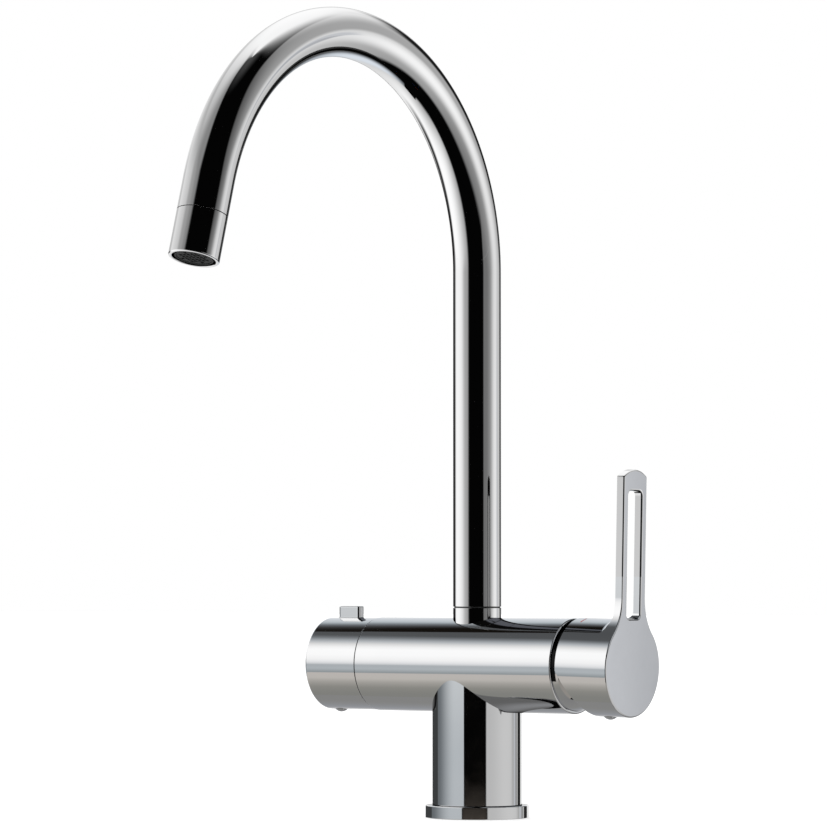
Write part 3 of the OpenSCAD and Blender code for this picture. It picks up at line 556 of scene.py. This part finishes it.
def leverSolid():
    start, face = lever["hubStart"], lever["face"]
    halfBlade, halfSlot = lever["bladeWidth"] / 2, lever["slotWidth"] / 2
    wide = 10 * near

    def atTipCorner(m):
        return (m.x > lever["top"] - lever["tipRise"] - wide and abs(m.y) > halfBlade - wide
                and start + 1 < m.z < face - 1)

    def atSlot(m):
        return (abs(m.y) < halfSlot + wide
                and lever["slotLow"] - wide < m.z < lever["slotHigh"] + wide)

    grip = raised(leverOutline(), start, face)
    # the tip's two corners stand where the crown meets the sides
    soften(grip, lever["tipCorner"], 6, atTipCorner, 20)
    # a flare leads from the hub's round wall to the blade's flat back
    back = face - lever["bladeThick"]
    flareStart = back - lever["flareRadius"]
    outer = lever["hubRadius"] + 2 * near
    clearOfBlade = 130
    limit = turned([(0, start - past), (outer, start - past), (outer, flareStart)]
                   + arc((outer + lever["flareRadius"], flareStart), lever["flareRadius"],
                         180, 90, 12)[1:]
                   + [(clearOfBlade, back), (clearOfBlade, face + past), (0, face + past)],
                   facets["large"], closed=False)
    solid = combine(place(grip, standing), place(limit, lieX), "INTERSECT")
    slot = raised(rounded([
        (lever["slotLow"], -halfSlot, lever["slotCorner"]),
        (lever["slotHigh"], -halfSlot, lever["slotCorner"]),
        (lever["slotHigh"], halfSlot, lever["slotCorner"]),
        (lever["slotLow"], halfSlot, lever["slotCorner"])], 10), start - 5 * past, face + 5 * past)
    solid = combine(solid, place(slot, standing))
    soften(solid, lever["edge"], 4, lambda m: m.x > face - near and not atSlot(m))
    soften(solid, lever["slotEdge"], 4, lambda m: m.x > face - near and atSlot(m))
    return soften(solid, lever["backEdge"], 4,
                  lambda m: abs(m.x - back) < near and m.z > lever["hubRadius"] + 5)


handle = leverSolid()
wedge = block((lever["cutLong"], lever["cutWide"], lever["cutHigh"]),
              (-lever["cutLong"] / 2, 0, -lever["cutHigh"] / 2))
handle = combine(handle, place(wedge, shifted(lever["hubStart"], 0, lever["cutStart"])
                               @ Matrix.Rotation(radians(-lever["cutAngle"]), 4, "Y")))

# the hollow under the hub, with a boss for the spindle and a wall round the screw
hollow = place(peg(lever["hubRadius"] - lever["skirtWall"], lever["hubStart"] - past / 2,
                   lever["face"] - lever["bladeThick"] - lever["skirtFloor"],
                   facets["middle"]), lieX)
sweep = bmesh.new()
bmesh.ops.create_uvsphere(sweep, u_segments=160, v_segments=80, radius=lever["sweep"])
place(sweep, shifted(cover["pivot"], 0, 0) @ lieX)
innerBoss = place(peg(lever["innerBoss"], cover["pivot"], lever["face"], facets["small"]), lieX)


def screwWall(wallRadius, x):
    # a post from the round wall to the axis
    return place(peg(lever["screwWall"], -wallRadius + screw["capSunk"], 0, facets["screw"]),
                 shifted(x, 0, 0))


def screwHole(wallRadius, x):
    # the screw's way in from below, the plug's mouth and the round seat for its head
    low = -wallRadius - 2 * past
    seat = -wallRadius + screw["capSunk"]
    mouth = seat + screw["plugLength"]
    seatRadius = screw["capRadius"] + screw["slip"]
    return place(turned([
        (0, low), (seatRadius, low), (seatRadius, seat), (screw["plugRadius"], seat),
        (screw["plugRadius"], mouth), (screw["radius"], mouth), (screw["radius"], 0), (0, 0)],
        facets["screw"], closed=False), shifted(x, 0, 0))


def screwCap(wallRadius, x):
    # a domed plug, its head low on the round wall
    seat = -wallRadius + screw["capSunk"]
    rise = screw["capRise"] + screw["capSunk"]
    radius = (screw["capRadius"] ** 2 + rise ** 2) / (2 * rise)
    centre = seat - rise + radius
    spreadTurn = acos((radius - rise) / radius) * 180 / pi
    crown = arc((0, centre), radius, -90, -90 + spreadTurn, 16)
    crown[0] = (0, crown[0][1])
    shank = screw["plugRadius"] - screw["slip"]
    return place(turned(crown + [
        (screw["capRadius"], seat + screw["capEdge"]), (shank, seat + screw["capEdge"]),
        (shank, seat + screw["plugLength"]), (0, seat + screw["plugLength"])],
        facets["small"], closed=False), shifted(x, 0, 0))


solidCore = combine(innerBoss, screwWall(lever["hubRadius"], lever["screwAt"]), "UNION")
solidCore = combine(solidCore, sweep.copy())
hollow = combine(hollow, solidCore)
handle = combine(handle, hollow)
handle = combine(handle, sweep)
socket = block((lever["socketEnd"] - cover["pivot"], 2 * lever["socketHalf"],
                2 * lever["socketHalf"]), ((lever["socketEnd"] + cover["pivot"]) / 2, 0, 0))
handle = combine(handle, socket)
handle = combine(handle, screwHole(lever["hubRadius"], lever["screwAt"]))


def markBar(side, low, high, spare=0):
    # a short bar bent round the hub, on the front for hot and on the back for cold
    ends = sorted((side * lever["markFrom"], side * lever["markTo"]))
    outline = arc((0, 0), low, ends[0], ends[1], 20) + arc((0, 0), high, ends[1], ends[0], 20)
    half = lever["markWidth"] / 2 - spare
    return place(raised(outline, lever["markAt"] - half, lever["markAt"] + half), standing)


markFloor = lever["hubRadius"] - lever["markDeep"]
for side in (-1, 1):
    handle = combine(handle, markBar(side, markFloor, lever["hubRadius"] + past))
makePiece("lever_hub_and_blade", place(handle, leverPlace), "lever", "lever_handle")
for side, name in ((-1, "hot"), (1, "cold")):
    bar = markBar(side, markFloor + lever["paintSlip"], lever["hubRadius"] - lever["paintSunk"],
                  lever["paintSlip"])
    soften(bar, lever["paintEdge"], 2,
           lambda m: Vector((m.y, m.z)).length > lever["hubRadius"] - 10 * near)
    makePiece(name + "_mark_enamel", place(bar, leverPlace), "lever", name + "_mark",
              name + "_paint")
makePiece("hub_screw_plug", place(screwCap(lever["hubRadius"], lever["screwAt"]), leverPlace),
          "lever", "lever_screw_cap")
print("lever ready")

# Valve knob: a cup with a tab on top
knob = {
    "start": -59.7, "end": -90.9, "radius": 23.3, "wall": 2.6, "plate": 5.2, "rim": 1.3,
    "seamEdge": 0.15, "innerEdge": 0.2, "floorEdge": 0.5, "socketEdge": 0.3,
    "tabAt": -78.4, "tabLength": 13.4, "tabThick": 4.9, "tabTop": 29.1, "tabCorner": 1.7,
    "tabEdge": 0.5, "tabFoot": 0.25, "footSteps": 8, "socketRadius": 7.5, "socketEnd": -71.8,
    "squareHalf": 3.25, "squareFrom": 2.4, "squareLong": 30, "screwAt": -84.7,
}
innerFace = knob["end"] + knob["plate"]
innerWall = knob["radius"] - knob["wall"]
cup = place(turned(rounded([
    (0, knob["end"], 0), (knob["radius"], knob["end"], knob["rim"]),
    (knob["radius"], knob["start"], knob["seamEdge"]),
    (innerWall, knob["start"], knob["innerEdge"]), (innerWall, innerFace, knob["floorEdge"]),
    (knob["socketRadius"], innerFace, knob["socketEdge"]),
    (knob["socketRadius"], knob["socketEnd"], knob["innerEdge"]),
    (0, knob["socketEnd"], 0)], 6), facets["large"], closed=False), lieX)
halfLong, halfThick = knob["tabLength"] / 2, knob["tabThick"] / 2
tab = raised(rounded([(x, y, knob["tabCorner"]) for x, y in (
    (-halfLong, -halfThick), (halfLong, -halfThick), (halfLong, halfThick),
    (-halfLong, halfThick))], 8), knob["radius"] + knob["tabFoot"], knob["tabTop"])
soften(tab, knob["tabEdge"], 4, lambda m: m.z > knob["tabTop"] - near)
bottom = [f for f in tab.faces if f.normal.z < -0.9]


def lower(faces, drop):
    # carries the tab's underside down
    made = bmesh.ops.extrude_face_region(tab, geom=faces)["geom"]
    bmesh.ops.delete(tab, geom=faces, context="FACES_ONLY")
    verts = vertsOf(made)
    bmesh.ops.translate(tab, vec=(0, 0, -drop), verts=verts)
    return [f for f in made if isinstance(f, bmesh.types.BMFace)], verts


for part in range(1, knob["footSteps"] + 1):
    # the foot spreads out into the knob along a quarter circle
    turn = part / knob["footSteps"] * pi / 2
    last = turn - pi / 2 / knob["footSteps"]
    step = knob["tabFoot"] * (1 - cos(turn)) - knob["tabFoot"] * (1 - cos(last))
    bottom, verts = lower(bottom, knob["tabFoot"] * (sin(turn) - sin(last)))
    wide = max(v.co.x for v in verts)
    deep = max(v.co.y for v in verts)
    bmesh.ops.scale(tab, vec=(1 + step / wide, 1 + step / deep, 1), verts=verts)
lower(bottom, past)
bmesh.ops.recalc_face_normals(tab, faces=tab.faces)
cup = combine(cup, place(tab, shifted(knob["tabAt"], 0, 0)), "UNION")
cup = combine(cup, screwWall(knob["radius"], knob["screwAt"]), "UNION")
cup = combine(cup, block(
    (knob["squareLong"], 2 * knob["squareHalf"], 2 * knob["squareHalf"]),
    (knob["end"] + knob["squareFrom"] + knob["squareLong"] / 2, 0, 0)))
cup = combine(cup, screwHole(knob["radius"], knob["screwAt"]))
makePiece("valve_knob_cup", place(cup, axisPlace), "valve", "valve_knob")
makePiece("knob_screw_plug", place(screwCap(knob["radius"], knob["screwAt"]), axisPlace),
          "valve", "knob_screw_cap")
print("knob ready")

# Studio: a pale floor under soft light; polished metal sees soft cards all round the tap.
# Sizes here are in metres.
studio = {
    "cameraSide": view["turn"] - 90, "metalTone": 0.93, "plainLevel": 0.8,
    "floorTone": 0.9, "floorGlow": 0.55, "floorHeight": -0.0002, "floorReach": 12,
    "halfway": 0.12, "sheetReach": 400, "curtainRadius": 0.01212, "curtainLow": 0.09,
}


def tone(*shown):
    # a tone as the picture shows it, 0 to 255, for polished metal to mirror
    shown = shown * 3 if len(shown) == 1 else shown
    linear = [((value / 255 + 0.055) / 1.055) ** 2.4 for value in shown]
    return [value / studio["metalTone"] for value in linear] + [1]


def flatPlane(name, height, reach, material):
    bm = bmesh.new()
    bmesh.ops.create_grid(bm, x_segments=4, y_segments=4, size=reach)
    bmesh.ops.translate(bm, vec=(0, 0, height), verts=bm.verts)
    plane = newObject(name, bm, material)
    return plane


floorMaterial, tree, shader = newMaterial("pale floor", Roughness=0.85)
shader.inputs["Base Color"].default_value = [studio["floorTone"]] * 3 + [1]
shader.inputs["Emission Color"].default_value = (1, 1, 1, 1)
ray = addNode(tree, "ShaderNodeLightPath").outputs
glow = figure(tree, "MULTIPLY", ray["Is Camera Ray"], studio["floorGlow"])
tree.links.new(glow, shader.inputs["Emission Strength"])
floor = flatPlane("floor", studio["floorHeight"], studio["floorReach"], floorMaterial)
floor.visible_glossy = False

# body and spout mirror different cards: a clear sheet lies between them, and round the spout's
# foot a clear curtain hangs from it, so the sheets that a ray has crossed tell where it left
clear = bpy.data.materials.new("clear sheet")
clear.use_nodes = True
tree = clear.node_tree
tree.nodes.remove(tree.nodes["Principled BSDF"])
pane = addNode(tree, "ShaderNodeBsdfTransparent")
tree.links.new(pane.outputs[0], tree.nodes["Material Output"].inputs["Surface"])
sheet = flatPlane("halfway_sheet", studio["halfway"], studio["sheetReach"], clear)
bm = bmesh.new()
ends = bmesh.ops.create_circle(bm, segments=180, radius=studio["curtainRadius"],
                               matrix=shifted(0, 0, studio["curtainLow"]))["verts"]
pull(bm, list({e for v in ends for e in v.link_edges}),
     (0, 0, studio["halfway"] - studio["curtainLow"]))
curtain = newObject("curtain", bm, clear)
for clearThing in (sheet, curtain):
    clearThing.visible_camera = clearThing.visible_diffuse = False
    clearThing.visible_transmission = clearThing.visible_shadow = False


# a card: where its middle is, in degrees from the camera's side and from the horizon, half its
# width and height, its corners (2 is round, 8 nearly square) and how softly it ends
cardLabels = ["Centre Turn", "Centre Lift", "Half Width", "Half Height", "Corner", "Softness"]


def makeCardGroup():
    group, given, made = newGroup(
        "soft card", [(label, "Float", 1) for label in ["Turn", "Lift"] + cardLabels],
        [("Mask", "Float")])
    across = figure(group, "WRAP", figure(group, "SUBTRACT", given["Turn"], given["Centre Turn"]),
                    180, -180)
    up = figure(group, "SUBTRACT", given["Lift"], given["Centre Lift"])
    parts = []
    for away, half in ((across, "Half Width"), (up, "Half Height")):
        share = figure(group, "DIVIDE", figure(group, "ABSOLUTE", away), given[half])
        parts.append(figure(group, "POWER", share, given["Corner"]))
    out = figure(group, "POWER", figure(group, "ADD", *parts),
                 figure(group, "DIVIDE", 1, given["Corner"]))
    mask = spread(group, out, figure(group, "ADD", 1, given["Softness"]),
                  figure(group, "SUBTRACT", 1, given["Softness"]),
                  interpolation_type="SMOOTHSTEP")
    group.links.new(mask, made["Mask"])
    return group


cardGroup = makeCardGroup()


def paintRamp(tree, lift, heights):
    # a tone for each height, in degrees from the horizon
    ramp = addNode(tree, "ShaderNodeValToRGB", {"Fac": spread(tree, lift, -90, 90)})
    stops = ramp.color_ramp.elements
    for height, shown in heights.items():
        # a ramp already has a stop at each end
        ready = {-90: stops[0], 90: stops[-1]}
        stop = ready[height] if height in ready else stops.new((height + 90) / 180)
        stop.color = tone(*shown)
    return ramp.outputs["Color"]


def paint(tree, under, turn, lift, cards):
    # after a card's six values come its face, as a tone, ramp or socket, and any cards within it
    for card in cards:
        mask = addNode(tree, "ShaderNodeGroup", {"Turn": turn, "Lift": lift}, node_tree=cardGroup)
        for label, value in zip(cardLabels, card):
            mask.inputs[label].default_value = value
        face, *within = card[len(cardLabels):]
        if isinstance(face, dict):
            face = paintRamp(tree, lift, face)
        elif not isinstance(face, bpy.types.NodeSocket):
            face = tone(*face)
        if within:
            face = paint(tree, face, turn, lift, within[0])
        under = mix(tree, mask.outputs["Mask"], under, face)
    return under


# what the lever's face mirrors
leverFace = (111.7, -1.4, 4, 5, 4, 0.3, (192, 194, 198), [
    (114.94, -1.4, 4, 20, 8, 0.1, (171, 173, 177))])
# what the spout mirrors
spoutCards = [
    (0, 93, 400, 13.3, 7.7, 0.95, (71,)),
    (-113.3, 43.3, 70, 36.1, 2, 0.09, (130,), [
        (-158.5, 216.5, 56.7, 200, 6.7, 0.72, (217,))]),
    (106.5, 19, 43.4, 26.5, 6, 0.09, (87,), [
        (131.3, 44.6, 43.4, 200, 8, 0.59, (164,))]),
    (164.2, 69.5, 63.7, 35.5, 2, 0.5, (244,)),
    (178.4, 37.8, 26.8, 23, 4, 0.95, (251,)),
    (151.4, 16.5, 16.5, 13.2, 3.7, 0.36, (25,)),
    (182.2, -31.3, 20.1, 30.6, 2, 0.5, (214, 221, 229)),
    (-110.8, -21.1, 67.5, 58.8, 3.5, 0.08, (111,), [
        (-122.5, -20.3, 58.2, 46, 6, 0.79, (253,)),
        (-46.6, 35.6, 39.6, 37.1, 2, 0.23, (154,))]),
    (-147.3, 2, 22.9, 8.3, 2.3, 0.18, (180,)),
    (-142.4, -9.8, 12.8, 20.9, 2.2, 0.52, (51,)),
    (61.5, 0.2, 31, 13, 2.9, 0.11, (108,)),
    (93.5, -23.3, 58.3, 32.6, 2.4, 0.14, (115,), [
        (129.9, 14.5, 49.7, 57.4, 8, 0.95, (195,)),
        (95.5, -11.7, 18.4, 17.2, 2.1, 0.87, (243,))]),
    (141.2, -22.6, 5, 30.1, 8, 0.03, (52,)),
    (-157, 1, 20, 4.5, 4, 0.2, (30,)),
    leverFace,
]
# what body, knob and hub mirror, towards the left front and towards the back
leftRamp = {
    -90: (122,), -52: (127, 127, 123), -44: (136, 135, 130), -35: (160, 157, 152),
    -28: (182, 178, 173), -18.2: (184, 179, 175), -17.2: (138, 144, 147), -9: (173, 179, 183),
    -2: (176, 181, 185), -0.6: (203, 206, 208), 2: (222, 223, 225), 9: (241,), 18: (249,),
    28: (250,), 33: (240,), 38: (217,), 43: (175, 179, 183), 48: (117, 121, 125),
    51: (79, 81, 83), 75: (62, 64, 66), 86: (160,), 90: (190,)}
backRamp = {
    -90: (122,), -50: (130, 130, 129), -34: (140, 142, 146), -24: (152, 153, 157), -9: (224,),
    9: (240,), 21: (210, 214, 219), 37: (187, 193, 198), 41: (168, 176, 181),
    47: (104, 108, 113), 50.5: (62, 62, 63), 53: (20, 17, 14), 74: (8,), 86: (160,), 90: (190,)}
tapCards = [
    (62, 50, 48, 30, 3, 0.25, (158, 161, 165)),
    (180, 0, 58, 400, 4, 0.01, backRamp, [
        (-148, -2, 32, 7, 4, 0.3, (58, 60, 61))]),
    (-79, 0, 43.5, 400, 4, 0.02, leftRamp, [
        (-124, -3, 34, 8, 2, 0.9, (98, 103, 107))]),
    (73, -35, 52, 46, 6, 0.03, (181,), [
        (78, 0, 26, 30, 2, 0.9, (195,)),
        (122, 0, 18, 60, 2, 0.6, (138,))]),
    (-7, -3.5, 27, 0.6, 8, 0.05, (70, 65, 60)),
    (136, 0, 10, 60, 4, 0.2, (40,)),
    (-7, -62, 31, 32, 6, 0.1, (140, 136, 131)),
    leverFace,
]

world = bpy.data.worlds.new("studio")
scene.world = world
world.use_nodes = True
tree = world.node_tree
facing = addNode(tree, "ShaderNodeVectorRotate", {
    "Vector": addNode(tree, "ShaderNodeTexCoord").outputs["Generated"],
    "Angle": radians(-studio["cameraSide"])}, rotation_type="Z_AXIS")
way = addNode(tree, "ShaderNodeSeparateXYZ", {"Vector": facing.outputs["Vector"]}).outputs
turn = figure(tree, "DEGREES", figure(tree, "ARCTAN2", way["Y"], way["X"]))
lift = figure(tree, "DEGREES", figure(tree, "ARCSINE", way["Z"]))
ray = addNode(tree, "ShaderNodeLightPath").outputs

# an odd count of crossed sheets and a rising ray, or neither, means that the ray left the body
crossed = figure(tree, "MODULO", ray["Transparent Depth"], 2)
rising = figure(tree, "GREATER_THAN", lift, 0)
fromTap = figure(tree, "COMPARE", crossed, rising, 0.5)
empty = tone(2)
mirrored = mix(tree, fromTap, paint(tree, empty, turn, lift, spoutCards),
               paint(tree, empty, turn, lift, tapCards))

# metal seen in metal: dark above and grey below, except high towards the left front
below = spread(tree, lift, -12, -32)
inner = paint(tree, mix(tree, below, tone(10), tone(98)), turn, lift, [
    (75, -56, 42, 30, 2, 0.9, (130, 131, 133)),
    (78, 42, 42, 40, 4, 0.2, (84, 86, 92)),
    (-79, 45, 43.5, 42, 4, 0.1, mirrored)])
# and nearly black within the spout and after a third mirror
second = figure(tree, "GREATER_THAN", ray["Glossy Depth"], 1.5)
third = figure(tree, "GREATER_THAN", ray["Glossy Depth"], 2.5)
deepest = figure(tree, "MAXIMUM", third, figure(tree, "SUBTRACT", 1, fromTap))
mirrored = mix(tree, second, mirrored, mix(tree, deepest, inner, tone(5)))

plain = [studio["plainLevel"]] * 3 + [1]
glossy = figure(tree, "MAXIMUM", ray["Is Glossy Ray"], ray["Is Transmission Ray"])
shade = mix(tree, ray["Is Camera Ray"], mix(tree, glossy, plain, mirrored), (1, 1, 1, 1))
tree.links.new(shade, tree.nodes["Background"].inputs["Color"])
world.cycles.sampling_method = "NONE"
scene.view_settings.view_transform = "Standard"
print("studio ready")

# the solids that need no new shape get their finish only
slotOf = {part["node"]: part["material_slot"] for part in frame["record"]["subparts"]}
# the spout's end collar gets the near-black brass, painted shade for its seam
special = {"spout_foot": "upright_brass", "spout_end_collar": "painted_shade_brass"}
for name, node in nodes.items():
    if not node.hide_render:
        node.data.materials.clear()
        node.data.materials.append(finishes[special.get(name, slotOf[name])])
print("carried-over parts ready")
